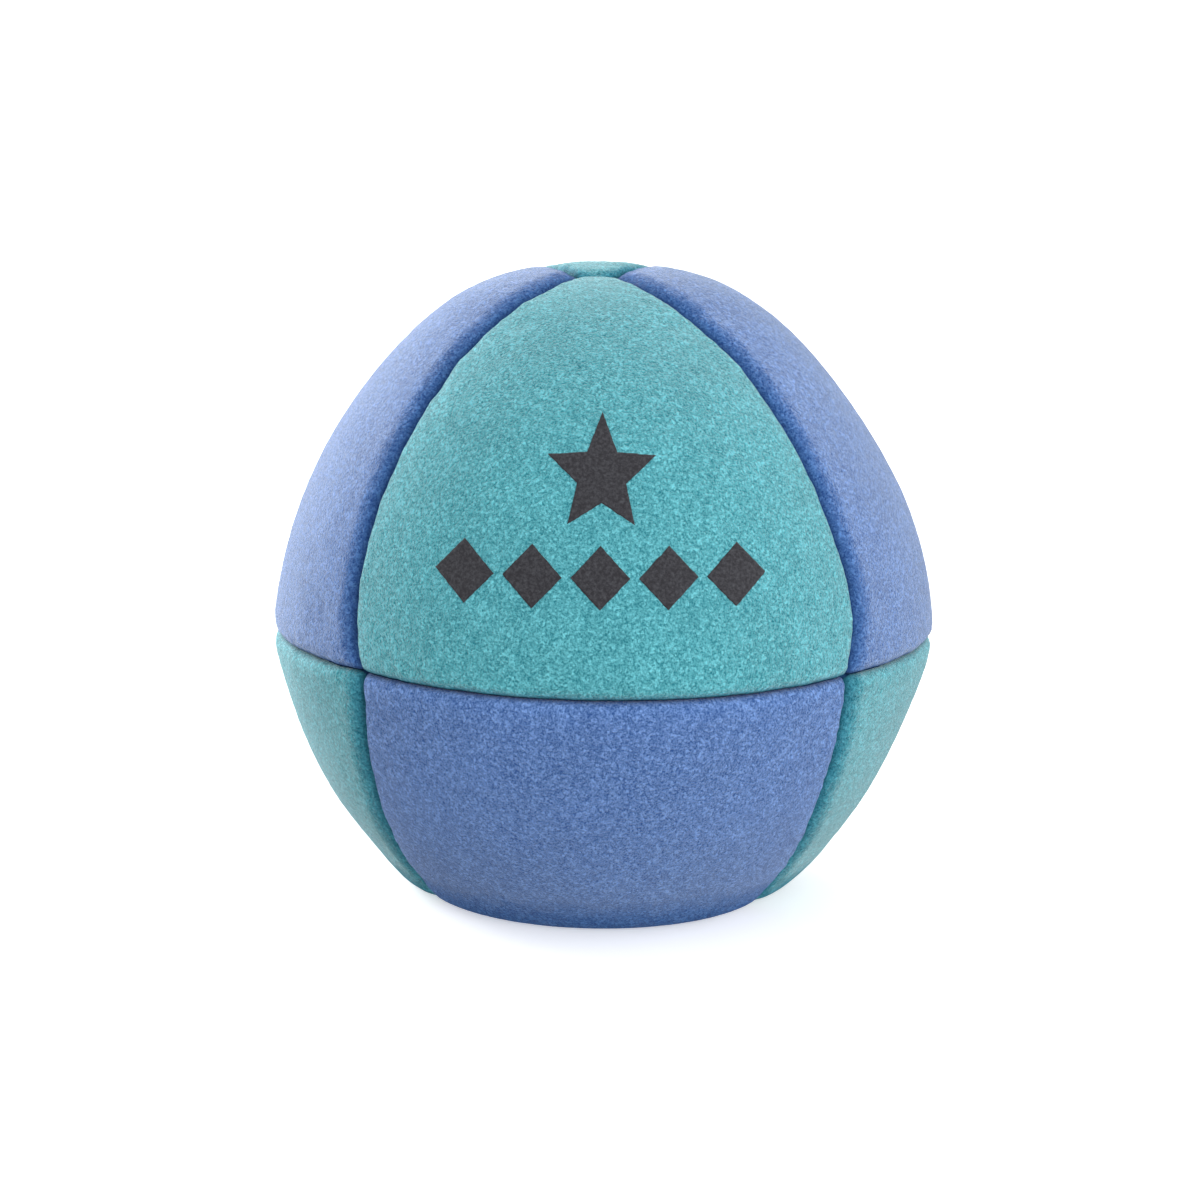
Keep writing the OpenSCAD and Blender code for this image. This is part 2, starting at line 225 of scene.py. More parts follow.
# ---- Cloth simulation: the filling presses the panels out between their seams ----------------
def welded_shell(rows):
    """The eight panels as one even mesh, sewn along their seams, in the world frame."""
    places, faces, _ = triangle_grid(rows)
    directions = unit(places)
    points, triangles, seam, keys = [], [], [], {}
    owners = {}
    for name, (azimuth, upper, _) in PANELS.items():
        local = on_surface(directions * [1, 1, 1 if upper else -1], upper)
        local = local * (1 - SIM_START / np.linalg.norm(local, axis=1))[:, None]
        owners[name] = []
        for k, place in enumerate(to_world(local, azimuth)):
            key = tuple(np.round(place / SIM_WELD).astype(int))
            if key not in keys:
                keys[key] = len(points)
                points.append(place)
                seam.append(places[k].min() == 0)
            owners[name].append(keys[key])
        for face in faces:
            corners = [owners[name][i] for i in (face if upper else face[::-1])]
            if len(set(corners)) == 3:
                triangles.append(corners)
    return np.array(points), triangles, seam, owners


def inflate(points, triangles, seam):
    """Runs the cloth with pressure inside, its seams and flat held, and says where it goes."""
    mesh = bpy.data.meshes.new("shell")
    mesh.from_pydata(points.tolist(), [], triangles)
    shell = bpy.data.objects.new("shell", mesh)
    bpy.context.collection.objects.link(shell)
    held = shell.vertex_groups.new(name="held")
    for i, point in enumerate(points):
        on_floor = point[2] < SIM_START * 2
        if seam[i] or on_floor:
            held.add([i], 1.0, "REPLACE")
    cloth = shell.modifiers.new("cloth", "CLOTH")
    settings = cloth.settings
    settings.quality = 6
    settings.mass = 0.3
    settings.tension_stiffness = 30
    settings.compression_stiffness = 1
    settings.shear_stiffness = 10
    settings.bending_stiffness = 2
    settings.shrink_min = -0.02
    settings.use_pressure = True
    settings.uniform_pressure_force = 10
    settings.vertex_group_mass = "held"
    settings.effector_weights.gravity = 0
    cloth.collision_settings.use_collision = False
    cloth.point_cache.frame_start = 1
    cloth.point_cache.frame_end = SIM_FRAMES
    scene = bpy.context.scene
    for step in range(1, SIM_FRAMES + 1):
        scene.frame_set(step)
    settled = shell.evaluated_get(bpy.context.evaluated_depsgraph_get())
    result = np.empty(len(points) * 3)
    settled.data.vertices.foreach_get("co", result)
    scene.frame_set(1)
    bpy.data.objects.remove(shell)
    bpy.data.meshes.remove(mesh)
    return result.reshape(-1, 3)


def settled_shell():
    """For each panel, how far the simulation moved each point of its even grid. The ball's
    size is known, so the average bulge is taken off, away from the seams."""
    points, triangles, seam, owners = welded_shell(SIM_GRID)
    moves = inflate(points, triangles, seam) - points
    length = np.linalg.norm(moves, axis=1)
    moves *= SIM_SHARE * np.minimum(1, SIM_CAP / np.maximum(length, 1e-9))[:, None]
    outward = unit(points - [0, 0, EQUATOR_Z])
    bulge = (moves * outward).sum(axis=1)
    x, y = points[:, 0], points[:, 1]
    to_seam = np.abs([x + y, x - y, (points[:, 2] - EQUATOR_Z) * math.sqrt(2)]).min(axis=0)
    open_share = 1 - np.exp(-((to_seam / OPEN_REACH) ** 2))
    moves -= outward * (open_share * bulge.mean() / open_share.mean())[:, None]
    return {name: moves[indices] for name, indices in owners.items()}


def grid_index(i, j, rows):
    """Index in triangle_grid of the point i along its first side and j along its second."""
    return i * (rows + 1) - i * (i - 1) // 2 + j


def from_even_grid(values, places, rows):
    """Values at barycentric places, blended from those of an even grid and its neighbours."""
    total = np.zeros((len(places), values.shape[1]))
    shifts = [(0, 0)] + [
        (SIM_SOFTEN * math.cos(math.radians(60 * k)), SIM_SOFTEN * math.sin(math.radians(60 * k)))
        for k in range(6)
    ]
    for first, second in shifts:
        u = places[:, 0] * rows + first - second / math.sqrt(3)
        v = places[:, 1] * rows + second * 2 / math.sqrt(3)
        u, v = np.clip(u, 0, rows), np.clip(v, 0, rows)
        over = np.clip(u + v - rows, 0, None) / 2
        u, v = np.clip(u - over, 0, None), np.clip(v - over, 0, None)
        i = np.minimum(np.floor(u), rows - 1).astype(int)
        j = np.minimum(np.floor(v), np.maximum(rows - 1 - i, 0)).astype(int)
        fu, fv = u - i, v - j
        lower = fu + fv <= 1
        beyond = grid_index(np.minimum(i + 1, rows), np.minimum(j + 1, rows - i - 1), rows)
        corner = np.where(lower, grid_index(i, j, rows), beyond)
        along_i = np.where(lower, fu, 1 - fv)
        along_j = np.where(lower, fv, 1 - fu)
        total += (
            values[corner] * (1 - along_i - along_j)[:, None]
            + values[grid_index(i + 1, j, rows)] * along_i[:, None]
            + values[grid_index(i, j + 1, rows)] * along_j[:, None]
        )
    return total / len(shifts)


# ---- Panels ----------------------------------------------------------------------------------
# Where the ball as it stands is fuller or flatter than its even shape: azimuth and height
# angle of the middle of each, in degrees, how wide it is, and how far it moves the skin
LUMPS = [
    (0, 8, 26, 0.9 * MM),
    (0, -45, 18, 0.8 * MM),
    (0, 64, 18, 1.3 * MM),
    (180, 68, 16, 0.5 * MM),
    (180, -42, 20, 0.5 * MM),
]
# The front and back panels are cut wider than the side ones: height over the equator seam,
# and the angle that their side seams are turned by there
WIDER = [(-27, 14), (-21.4, 12.6), (-19, 10.2), (-16.7, 7.9), (-12, 5.2), (-8, 4), (-4, 2.8),
         (0, 2.2), (2.5, 4), (5, 5.2), (8, 5.4), (16, 4.6), (24, 3.6), (28, 3), (32, 0), (35, -3)]
# Heights over the equator seam, and the angle that both of a panel's side seams swing by
SWING = [(-16, 0), (-6, 1.2), (0, 1.5), (7, 1.3), (15, 0)]
LEAN = -0.8 * MM            # the seams' upper crossing is this far to the right of the middle
LEAN_START = 12 * MM        # height over the equator seam where they begin to lean
LEAN_END = 32 * MM
TIP_GAP = 1.2 * MM          # the side panels' tips stop this far from the crossing
TIP_SOFT = 0.5 * MM
TIP_SIZE = 5 * MM           # and the seams bend to meet them over about this distance
POLE_SHIFT = 2.6 * MM       # the seams cross this far in front of the top's middle
POLE_REACH = 13 * MM        # and the shift fades away over about this distance
EQUATOR_DROP = 0.65 * MM    # the equator seam hangs this far below its even height
DROP_FADE = 5 * MM          # and the skin over and under it within about this height
FLAT_SPREAD = (0.06, -0.03)     # share that the filling's weight widens the flat by, X and Y
SPREAD_HEIGHT = 3.5 * MM    # and the height over the floor that it fades away over


def lump_heights(points):
    """How far the lumps push each world point outward."""
    out = unit(points - [0, 0, EQUATOR_Z])
    height = np.zeros(len(points))
    for azimuth, up, width, amount in LUMPS:
        a, e = math.radians(azimuth), math.radians(up)
        middle = [math.cos(a) * math.cos(e), math.sin(a) * math.cos(e), math.sin(e)]
        angle = np.degrees(np.arccos(np.clip(out @ np.array(middle), -1, 1)))
        height += amount * np.exp(-((angle / width) ** 2))
    return height


def noise_at(points, size):
    """Noise at each point, whose waves are about this size in metres."""
    return np.array([noise.noise(Vector(p) / size) for p in points])


def pucker_heights(points, distance):
    """Small gathers where the stitches pull the edges, fading away from the seams."""
    short = noise_at(points + ELSEWHERE, PUCKER_SHORT)
    waves = noise_at(points, PUCKER_LONG) + PUCKER_SHORT_SHARE * short
    return PUCKER * waves * np.exp(-np.clip(distance, 0, None) / PUCKER_REACH)


def table_angle(table, heights):
    """Angles in radians from a table of heights in millimetres and angles in degrees."""
    table_heights = [row[0] * MM for row in table]
    return np.radians(np.interp(heights, table_heights, [row[1] for row in table]))


def uneven(points):
    """Moves world points from the even ball to the ball as it was cut, sewn and set down."""
    x, y, z = points[:, 0], points[:, 1], points[:, 2] - EQUATOR_Z
    near_pole = np.exp(-(x ** 2 + y ** 2) / TIP_SIZE ** 2)
    lean = LEAN * np.clip((z - LEAN_START) / (LEAN_END - LEAN_START), 0, 1) ** 2
    x = x + np.where(z > 0, TIP_GAP * np.tanh(x / TIP_SOFT) * near_pole, 0) + lean
    turn = table_angle(WIDER, z) * np.sin(2 * np.arctan2(x, -y)) + table_angle(SWING, z)
    drop = EQUATOR_DROP * np.exp(-((z / DROP_FADE) ** 2))
    low = np.exp(-((points[:, 2] / SPREAD_HEIGHT) ** 2))
    turned_x = (x * np.cos(turn) - y * np.sin(turn)) * (1 + FLAT_SPREAD[0] * low)
    turned_y = (x * np.sin(turn) + y * np.cos(turn)) * (1 + FLAT_SPREAD[1] * low)
    top = np.clip(z / CROWN_RADIUS, 0, 1) ** 2
    reach_squared = turned_x ** 2 + turned_y ** 2
    shifted_y = turned_y - POLE_SHIFT * top * np.exp(-reach_squared / POLE_REACH ** 2)
    lifted = top * (turned_y ** 2 - shifted_y ** 2) / (2 * CROWN_RADIUS)
    return np.stack([turned_x, shifted_y, points[:, 2] - drop + lifted], axis=1)


def settled(points):
    """Moves points inside the ball as the skin over them moves."""
    from_middle = points - [0, 0, EQUATOR_Z]
    share = np.clip(np.linalg.norm(from_middle, axis=1) / PANEL_FRONT, 0, 1) ** 2
    free = np.clip(points[:, 2] / FLAT_FADE, 0, 1)
    raised = lump_heights(points) * share * free
    return uneven(points + unit(from_middle) * raised[:, None])


def seam_shade(base, heights, azimuth, upper):
    """How deep each point is in the painted shade beside an upright seam, over the equator seam or
    at the floor, from 0 in the open to 1."""
    width = PROUD_SHADE if azimuth in (-90, 90) else TUCKED_SHADE
    shade = np.clip(1 - np.abs(base[:, :2]).min(axis=1) / width, 0, 1)
    if upper:
        shade = np.maximum(shade, np.clip(1 - base[:, 2] / OVERHANG_SHADE, 0, 1))
    else:
        shade = np.maximum(shade, np.clip(1 - heights / FLOOR_SHADE, 0, 1))
    return shade * shade * (3 - 2 * shade)


def closed_panel(name, azimuth, upper, moves):
    """A panel's skin, its edges rolled into the seams and turned in, as one closed mesh. Each
    face's material is one of the suede's sheens, or the last one where it's down in a seam."""
    corner = np.array([1, 1, 1 if upper else -1])
    places, faces, border = triangle_grid(GRID)
    directions = unit(places ** CROWDING)
    even_places = directions / directions.sum(axis=1)[:, None]
    base = on_surface(directions * corner, upper)
    turn = math.radians(45 - azimuth)
    spin = np.array([
        [math.cos(turn), -math.sin(turn), 0],
        [math.sin(turn), math.cos(turn), 0],
        [0, 0, 1],
    ])
    moved = from_even_grid(moves, even_places, SIM_GRID) @ spin.T
    moved[np.abs(base) < ON_SEAM] = 0
    distance = np.abs(base).min(axis=1)
    sink = seam_sink(base, azimuth, upper)
    in_world = to_world(base, azimuth)
    raised = lump_heights(in_world) + pucker_heights(in_world, distance) - SIM_START
    raised += NAP * noise_at(in_world, NAP_SIZE)
    free = np.clip(in_world[:, 2] / FLAT_FADE, 0, 1)
    moved *= free[:, None]
    raised *= free
    outward = unit(base)
    full = base + moved + outward * raised[:, None]
    outer = full - outward * sink[:, None]
    outer[:, 2] = np.maximum(outer[:, 2], -EQUATOR_Z)

    def held_off_seams(points):
        """Points no nearer the seams' planes than the fabric is thick."""
        return corner * np.maximum(points * corner, FABRIC)

    inner = held_off_seams(outer - outward * FABRIC)
    rim = outer[border]
    edge = full[border]
    raw_edge = edge * (1 - SEAM_ALLOWANCE / np.linalg.norm(edge, axis=1))[:, None]
    loops = [rim * 0.5 + raw_edge * 0.5, raw_edge, held_off_seams(raw_edge)]

    points = np.concatenate([outer] + loops + [inner])
    count, around = len(outer), len(border)
    rings = [list(border)]
    rings += [[count + k * around + i for i in range(around)] for k in range(len(loops))]
    rings += [[count + len(loops) * around + i for i in border]]
    inner_start = count + len(loops) * around
    all_faces = list(faces) + [tuple(inner_start + i for i in reversed(f)) for f in faces]
    for one, other in zip(rings, rings[1:]):
        for i in range(around):
            k = (i + 1) % around
            all_faces.append((one[k], one[i], other[i], other[k]))
    if not upper:
        all_faces = [tuple(reversed(f)) for f in all_faces]
    mesh = bpy.data.meshes.new(name)
    mesh.from_pydata(uneven(to_world(points, azimuth)).tolist(), [], all_faces)
    folded = np.ones(around * len(loops))
    sunk = np.clip(sink / SEAM_DEPTH, 0, 1)
    # Painted shade beside the seams, under the upper panels' edges and where the panel stands on
    # the floor; the turned-in edges take all of it
    shade = seam_shade(base, in_world[:, 2], azimuth, upper)
    in_groove = np.concatenate([sunk, folded, sunk])
    beside_seam = np.concatenate([shade, folded, shade])
    mesh.attributes.new("in_groove", "FLOAT", "POINT").data.foreach_set("value", in_groove)
    mesh.attributes.new("beside_seam", "FLOAT", "POINT").data.foreach_set("value", beside_seam)
    pressed = np.clip(beside_seam + PRESSED_PATCHES * noise_at(points, NAP_SIZE / 2), 0, 0.999)
    looks = (pressed * len(SHEENS)).astype(int)
    looks[in_groove > GROOVE_START] = len(SHEENS)
    mesh.polygons.foreach_set("material_index", [
        int(min(looks[i] for i in face)) for face in all_faces
    ])
    mesh.polygons.foreach_set("use_smooth", [True] * len(mesh.polygons))
    mesh.update()
    return mesh


def add_piece(name, mesh, materials, slot, *nodes):
    """Puts a mesh in the scene as a piece, in place of some nodes of the CAD model."""
    piece = bpy.data.objects.new(name, mesh)
    bpy.context.collection.objects.link(piece)
    for material in materials:
        mesh.materials.append(material)
    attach(piece, "root")
    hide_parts(*nodes)
    return piece


# ---- Materials -------------------------------------------------------------------------------
# The colours of each suede between its fibres and on their lit tips, and the painted shade that it
# darkens to down in its seams
TEAL = ((0.018, 0.2, 0.25), (0.2, 0.7, 0.79))
TEAL_GROOVE_SHADE = (0.01, 0.09, 0.13)
BLUE = ((0.025, 0.085, 0.29), (0.24, 0.42, 0.85))
BLUE_GROOVE_SHADE = (0.016, 0.045, 0.15)
BESIDE_SEAM_SHADE = (0.38, 0.58, 0.7)   # what the painted shade beside the seams leaves of a colour
BRUSHED_SHADE = 0.92        # and what is left where the nap is brushed the other way
SHEEN_TINT = (0.92, 0.97, 1)
FIBRE_SIZE = 0.19 * MM      # sizes of the nap's fibres, of its light nubs, of the tufts that
NUB_SIZE = 0.25 * MM        # they stand in, and of the patches where it's brushed one way
TUFT_SIZE = 1.0 * MM
BRUSHED_SIZE = 7 * MM
NUB_SHARE = 0.45            # how much of the grain is nubs, and how much of it is tufts
TUFT_SHARE = 0.13
GRAIN_DEPTH = 0.22 * MM     # how deep the grain is
# The two tones that each of the other materials varies between
# The seams' tones are painted shade, dark because hardly any light reaches down there
SEAM_SHADE_TONES = ((0.008, 0.03, 0.085), (0.018, 0.06, 0.14))
THREAD_TONES = ((0.006, 0.012, 0.05), (0.02, 0.035, 0.11))
GRANULE_TONES = ((0.72, 0.66, 0.5), (0.88, 0.85, 0.76))
INK_TONES = ((0.024, 0.023, 0.028), (0.068, 0.07, 0.08))


def new_material(name):
    """A material, its nodes, its links and its shader."""
    material = bpy.data.materials.new(name)
    material.use_nodes = True
    nodes = material.node_tree.nodes
    return material, nodes, material.node_tree.links, nodes["Principled BSDF"]


def noise_node(nodes, links, place, size, detail, roughness=0.6):
    """Noise over the object, whose grains are about this size in metres."""
    texture = nodes.new("ShaderNodeTexNoise")
    texture.inputs["Scale"].default_value = 1 / size
    texture.inputs["Detail"].default_value = detail
    texture.inputs["Roughness"].default_value = roughness
    links.new(place.outputs["Object"], texture.inputs["Vector"])
    return texture


def stretched(nodes, links, value, low, high):
    """A value between low and high, spread to 0 to 1."""
    spread = nodes.new("ShaderNodeMapRange")
    spread.inputs["From Min"].default_value = low
    spread.inputs["From Max"].default_value = high
    links.new(value, spread.inputs["Value"])
    return spread.outputs["Result"]


def mixed(nodes, links, factor, first, second, blend="MIX"):
    """A colour between two, each a colour or another node's output, as the factor is."""
    mix = nodes.new("ShaderNodeMix")
    mix.data_type = "RGBA"
    mix.blend_type = blend
    for socket, value in (
        (mix.inputs[0], factor), (mix.inputs[6], first), (mix.inputs[7], second)
    ):
        if isinstance(value, bpy.types.NodeSocket):
            links.new(value, socket)
        elif isinstance(value, tuple):
            socket.default_value = (*value, 1)
        else:
            socket.default_value = value
    return mix.outputs[2]


def add_bump(nodes, links, shader, height, strength, depth):
    """Makes a value the height of the shader's surface, up to a depth in metres."""
    bump = nodes.new("ShaderNodeBump")
    bump.inputs["Strength"].default_value = strength
    bump.inputs["Distance"].default_value = depth
    links.new(height, bump.inputs["Height"])
    links.new(bump.outputs["Normal"], shader.inputs["Normal"])


def blended(nodes, links, share, first, second):
    """Two values mixed, with this share of the second."""
    mix = nodes.new("ShaderNodeMix")
    mix.inputs["Factor"].default_value = share
    links.new(first, mix.inputs["A"])
    links.new(second, mix.inputs["B"])
    return mix.outputs["Result"]


def suede(name, colours, groove_shade, sheen):
    """Brushed microfibre suede. The first of its colours is between the fibres and the last one on
    their lit tips; the dark colour that it takes down in the seams is painted shade, where the
    seams keep the light out."""
    material, nodes, links, shader = new_material(name)
    place = nodes.new("ShaderNodeTexCoord")
    fibre = noise_node(nodes, links, place, FIBRE_SIZE, 2, 0.7)
    tuft = noise_node(nodes, links, place, TUFT_SIZE, 3, 0.6)
    brushed = noise_node(nodes, links, place, BRUSHED_SIZE, 3, 0.5)
    nub = nodes.new("ShaderNodeTexVoronoi")
    nub.inputs["Scale"].default_value = 1 / NUB_SIZE
    links.new(place.outputs["Object"], nub.inputs["Vector"])
    fine = stretched(nodes, links, fibre.outputs["Fac"], 0.37, 0.61)
    nubs = stretched(nodes, links, nub.outputs["Color"], 0.5, 0.8)
    coarse = stretched(nodes, links, tuft.outputs["Fac"], 0.35, 0.65)
    broad = stretched(nodes, links, brushed.outputs["Fac"], 0.35, 0.65)
    grain = blended(nodes, links, NUB_SHARE, fine, nubs)
    height = blended(nodes, links, TUFT_SHARE, grain, coarse)
    deep, tip = colours
    nap = mixed(nodes, links, height, deep, tip)
    shade = mixed(nodes, links, broad, (BRUSHED_SHADE,) * 3, (1, 1, 1))
    even = mixed(nodes, links, 1, nap, shade, "MULTIPLY")
    # Painted shade: the nap's colour is darkened beside the seams, under the equator seam's
    # overhang and where the panel stands on the floor
    beside = nodes.new("ShaderNodeAttribute")
    beside.attribute_name = "beside_seam"
    shaded = mixed(nodes, links, 1, even, BESIDE_SEAM_SHADE, "MULTIPLY")
    open_colour = mixed(nodes, links, beside.outputs["Fac"], even, shaded)
    # Painted shade in the seams: the deeper the skin sinks into one, the nearer its colour comes
    # to the dark groove colour
    sunk = nodes.new("ShaderNodeAttribute")
    sunk.attribute_name = "in_groove"
    groove_shade_share = stretched(nodes, links, sunk.outputs["Fac"], 0.25, 0.8)
    links.new(mixed(nodes, links, groove_shade_share, open_colour, groove_shade), shader.inputs["Base Color"])
    add_bump(nodes, links, shader, height, 0.8, GRAIN_DEPTH)
    links.new(stretched(nodes, links, fibre.outputs["Fac"], -0.6, 1.0), shader.inputs["Roughness"])
    shader.inputs["Specular IOR Level"].default_value = 0.1
    shader.inputs["Sheen Weight"].default_value = sheen
    shader.inputs["Sheen Roughness"].default_value = 0.35
    shader.inputs["Sheen Tint"].default_value = (*SHEEN_TINT, 1)
    return material


def groove_material():
    """Suede down in the seams, where hardly any light comes; its dark tones are painted shade."""
    material, nodes, links, shader = new_material("suede_in_seams")
    place = nodes.new("ShaderNodeTexCoord")
    seam_grain = noise_node(nodes, links, place, 0.4 * MM, 3)
    tone = stretched(nodes, links, seam_grain.outputs["Fac"], 0.35, 0.65)
    links.new(mixed(nodes, links, tone, *SEAM_SHADE_TONES), shader.inputs["Base Color"])
    add_bump(nodes, links, shader, seam_grain.outputs["Fac"], 0.5, 0.1 * MM)
    shader.inputs["Roughness"].default_value = 1
    shader.inputs["Specular IOR Level"].default_value = 0
    return material


def thread_material():
    """Twisted polyester thread."""
    material, nodes, links, shader = new_material("navy_thread")
    place = nodes.new("ShaderNodeTexCoord")
    ply = nodes.new("ShaderNodeTexWave")
    ply.bands_direction = "DIAGONAL"
    ply.inputs["Scale"].default_value = 0.35 / (0.4 * MM)
    ply.inputs["Distortion"].default_value = 1.5
    links.new(place.outputs["Object"], ply.inputs["Vector"])
    links.new(mixed(nodes, links, ply.outputs["Fac"], *THREAD_TONES), shader.inputs["Base Color"])
    add_bump(nodes, links, shader, ply.outputs["Fac"], 0.6, 0.05 * MM)
    shader.inputs["Roughness"].default_value = 0.55
    shader.inputs["Sheen Weight"].default_value = 0.3
    return material


def granule_material():
    """Cream plastic granules, dusty and slightly uneven in colour."""
    material, nodes, links, shader = new_material("granules")
    place = nodes.new("ShaderNodeTexCoord")
    batch = noise_node(nodes, links, place, 5 * MM, 2)
    dust = noise_node(nodes, links, place, 0.3 * MM, 4)
    tone = stretched(nodes, links, batch.outputs["Fac"], 0.35, 0.65)
    links.new(mixed(nodes, links, tone, *GRANULE_TONES), shader.inputs["Base Color"])
    links.new(stretched(nodes, links, dust.outputs["Fac"], -0.4, 1.4), shader.inputs["Roughness"])
    add_bump(nodes, links, shader, dust.outputs["Fac"], 0.15, 0.1 * MM)
    shader.inputs["Subsurface Weight"].default_value = 0.2
    shader.inputs["Subsurface Radius"].default_value = (0.0012, 0.001, 0.0008)
    shader.inputs["Subsurface Scale"].default_value = 1
    return material


def ink_material():
    """Matt black textile ink, with the nap showing through in specks."""
    material, nodes, links, shader = new_material("black_ink")
    place = nodes.new("ShaderNodeTexCoord")
    grain = noise_node(nodes, links, place, 0.3 * MM, 4, 0.75)
    specks = stretched(nodes, links, grain.outputs["Fac"], 0.42, 0.72)
    links.new(mixed(nodes, links, specks, *INK_TONES), shader.inputs["Base Color"])
    add_bump(nodes, links, shader, grain.outputs["Fac"], 0.5, 0.1 * MM)
    shader.inputs["Roughness"].default_value = 0.85
    shader.inputs["Specular IOR Level"].default_value = 0.2
    shader.inputs["Sheen Weight"].default_value = 0.15
    return material


suede_looks = {}
for slot, colours, groove_shade in (
    ("teal_suede", TEAL, TEAL_GROOVE_SHADE), ("blue_suede", BLUE, BLUE_GROOVE_SHADE)
):
    for upper, where in ((True, "upper"), (False, "lower")):
        share = SHEEN_SHARES[slot, upper]
        suede_looks[slot, upper] = [
            suede("%s_%s_%d" % (slot, where, k), colours, groove_shade, sheen * share)
            for k, sheen in enumerate(SHEENS)
        ]
in_seams = groove_material()

shell_moves = settled_shell()
panels = {}
for panel_name, (azimuth, upper, slot) in PANELS.items():
    skin = closed_panel(panel_name + "_skin", azimuth, upper, shell_moves[panel_name])
    looks = [*suede_looks[slot, upper], in_seams]
    piece = add_piece(panel_name + "_skin", skin, looks, slot, panel_name)
    panels[panel_name] = piece


# ---- Printed motif ---------------------------------------------------------------------------
STAR_HEIGHT = 46.4 * MM     # height of the star's middle over the floor
STAR_RADIUS = 5.2 * MM
STAR_POINTS = 5
STAR_NOTCH = 0.45           # how far out the star's inner corners are, against its points
ROW_HEIGHT = 37.6 * MM      # height of the row of lozenges over the floor
LOZENGE_W = 5.4 * MM
LOZENGE_H = 5.6 * MM
LOZENGE_GAP = 0.8 * MM
LOZENGES = 5
INK = 0.06 * MM             # how far the ink stands out of the skin
INK_THICKNESS = 0.084 * MM  # the film's thickness, part of it in the nap
INK_CUTS = 14               # rows of faces across each triangle of a shape
FRAY = 0.05 * MM            # how far the ink's edges wander, and over what length
FRAY_SIZE = 0.35 * MM
FILM_WELD = 0.002 * MM
BEFORE_BALL = 100 * MM      # how far in front of the middle the ink is thrown on from


def star_triangles():
    """A star as triangles round its middle, each of them its points' X and Z."""
    tips = []
    count = 2 * STAR_POINTS
    for i in range(count):
        reach = STAR_RADIUS * (1 if i % 2 == 0 else STAR_NOTCH)
        angle = math.radians(360 / count * i)
        tips.append((reach * math.sin(angle), STAR_HEIGHT + reach * math.cos(angle)))
    return [((0, STAR_HEIGHT), tips[i], tips[(i + 1) % count]) for i in range(count)]


def lozenge_triangles(x):
    """The same for a lozenge of the row, whose middle is at x."""
    tips = [
        (x - LOZENGE_W / 2, ROW_HEIGHT), (x, ROW_HEIGHT - LOZENGE_H / 2),
        (x + LOZENGE_W / 2, ROW_HEIGHT), (x, ROW_HEIGHT + LOZENGE_H / 2),
    ]
    return [((x, ROW_HEIGHT), tips[i], tips[(i + 1) % 4]) for i in range(4)]


def ink_film(shapes, skin):
    """A film of ink laid on a panel: each shape's triangles, cut fine and closed."""
    tree = BVHTree.FromPolygons([v.co for v in skin.vertices],
                                [p.vertices for p in skin.polygons])
    film = bmesh.new()
    elsewhere = Vector((9, 9, 9))
    for triangles in shapes:
        for a, b, c in triangles:
            rows = []
            for i in range(INK_CUTS + 1):
                row = []
                for j in range(INK_CUTS + 1 - i):
                    s, t = i / INK_CUTS, j / INK_CUTS
                    x = a[0] * (1 - s - t) + b[0] * s + c[0] * t
                    z = a[1] * (1 - s - t) + b[1] * s + c[1] * t
                    at_edge = i + j == INK_CUTS
                    fray = Vector((x, 0, z)) / FRAY_SIZE
                    x += FRAY * noise.noise(fray) * at_edge
                    z += FRAY * noise.noise(fray + elsewhere) * at_edge
                    start = Vector((x, -BEFORE_BALL, z))
                    hit, normal, _, _ = tree.ray_cast(start, Vector((0, 1, 0)))
                    row.append(film.verts.new(hit + normal * INK))
                rows.append(row)
            for i in range(INK_CUTS):
                for j in range(INK_CUTS - i):
                    film.faces.new((rows[i][j], rows[i + 1][j], rows[i][j + 1]))
                    if i + j < INK_CUTS - 1:
                        film.faces.new((rows[i + 1][j], rows[i + 1][j + 1], rows[i][j + 1]))
    bmesh.ops.remove_doubles(film, verts=film.verts, dist=FILM_WELD)
    for face in film.faces:
        if face.normal.y > 0:
            face.normal_flip()
        face.smooth = True
    bmesh.ops.solidify(film, geom=film.faces[:], thickness=INK_THICKNESS)
    bmesh.ops.recalc_face_normals(film, faces=film.faces[:])
    mesh = bpy.data.meshes.new("printed_motif_film")
    film.to_mesh(mesh)
    film.free()
    return mesh


motif_shapes = [star_triangles()]
for i in range(LOZENGES):
    from_middle = i - (LOZENGES - 1) / 2
    motif_shapes.append(lozenge_triangles(from_middle * (LOZENGE_W + LOZENGE_GAP)))
add_piece("printed_motif_film", ink_film(motif_shapes, panels["upper_front_panel"].data),
          [ink_material()], "black_ink", "printed_motif")

# ---- Threads and filling, settled with the skin ----------------------------------------------
GRANULE_RADIUS = 3 * MM
GRANULE_PITCH = 6.6 * MM
THREAD_SIDE = 1.25 * MM     # distance of the machine threads from the seams' planes
THREAD_RADIUS = 0.2 * MM
GRANULE_UNEVEN = 0.12 * MM  # how far a granule is out of round
CLOSING_SINK = 0.55 * MM    # the hand stitches, pulled tight, draw this far into the seam
GRANULE_WAVES = 1.5         # length of the unevenness, in granule radiuses
GRANULE_APART = 50          # how unlike each other's the granules' unevenness is
WELD = 0.0001 * MM          # points of a thread's CAD mesh nearer than this are the same one


def settled_thread(node):
    """A thread as its CAD node has it, settled with the skin that it's sewn through."""
    count = len(node.data.vertices)
    points = np.empty(count * 3)
    node.data.vertices.foreach_get("co", points)
    matrix = np.array(node.matrix_world)
    world = points.reshape(-1, 3) @ matrix[:3, :3].T + matrix[:3, 3]
    if node.name.startswith("closing_thread"):
        world -= unit(world - [0, 0, EQUATOR_Z]) * CLOSING_SINK
    moved = settled(world)
    thread = bmesh.new()
    thread.from_mesh(node.data)
    for vertex, place in zip(thread.verts, moved):
        vertex.co = place
    bmesh.ops.remove_doubles(thread, verts=thread.verts, dist=WELD)
    mesh = bpy.data.meshes.new(node.name + "_settled")
    thread.to_mesh(mesh)
    thread.free()
    return mesh


